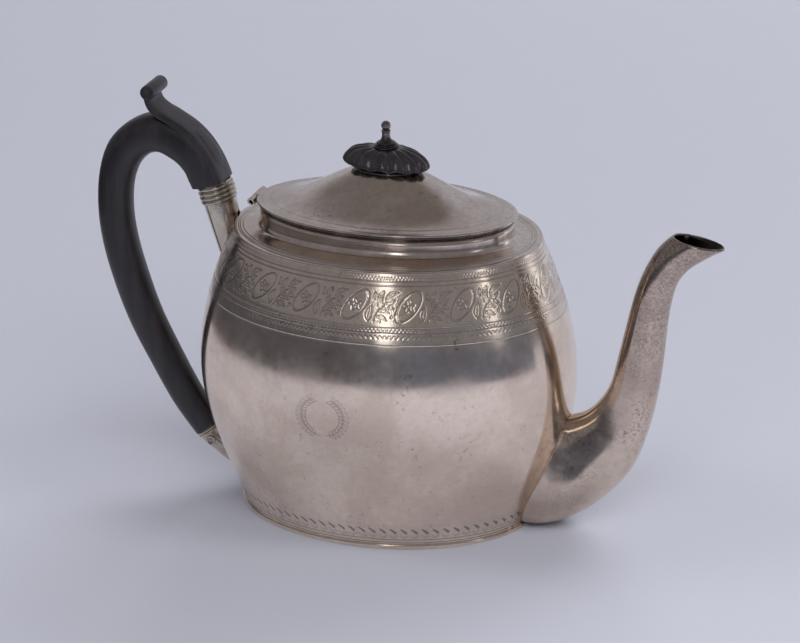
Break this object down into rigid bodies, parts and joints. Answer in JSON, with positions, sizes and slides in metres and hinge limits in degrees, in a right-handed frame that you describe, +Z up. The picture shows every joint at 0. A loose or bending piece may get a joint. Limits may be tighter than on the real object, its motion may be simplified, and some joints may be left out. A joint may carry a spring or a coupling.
{
  "type": "teapot",
  "caption": "Oval footed teapot with a tall bellied body, hinged domed lid with a fluted button, swan-neck spout and a scrolled wooden handle with a thumb piece",
  "frame": {"origin": "Centre of the foot on the table, under the middle of the oval body", "axes": "+X points towards the spout, with the handle on the -X side; +Z is up, away from the table; +Y is across the body"},
  "size_m": [0.2695, 0.122, 0.1771],
  "materials": {
    "silver": "polished, lightly tarnished",
    "dark_silver": "polished, dark with tarnish",
    "ebonised_wood": "dark satin wax",
    "brass": "turned"
  },
  "bodies": {
    "pot": {"foot_rim": "silver", "base_plate": "silver", "body_shell": "silver", "shoulder_wire": "silver", "shoulder": "silver", "rim_wire": "silver", "hinge_body_knuckles": "silver", "hinge_pin": "silver", "handle": "ebonised_wood", "upper_socket": "silver", "upper_socket_collar": "silver", "upper_pin": "silver", "lower_socket": "silver", "lower_socket_collar": "silver", "lower_pin": "silver", "lower_rosettes": "silver", "spout": "silver", "spout_tab": "dark_silver"},
    "lid": {"lid": "silver", "lid_bezel": "silver", "hinge_lid_knuckle": "silver", "finial_seat": "silver", "finial_button": "ebonised_wood", "finial_collar": "dark_silver", "finial_cap": "dark_silver", "finial_bolt": "dark_silver", "finial_washer": "silver", "finial_nut": "brass"}
  },
  "joints": [
    {"name": "lid_hinge", "type": "hinge", "parent": "pot", "child": "lid", "pos_m": [-0.0566, 0, 0.1313], "axis": [0, -1, 0], "range_deg": [0, 90]}
  ]
}
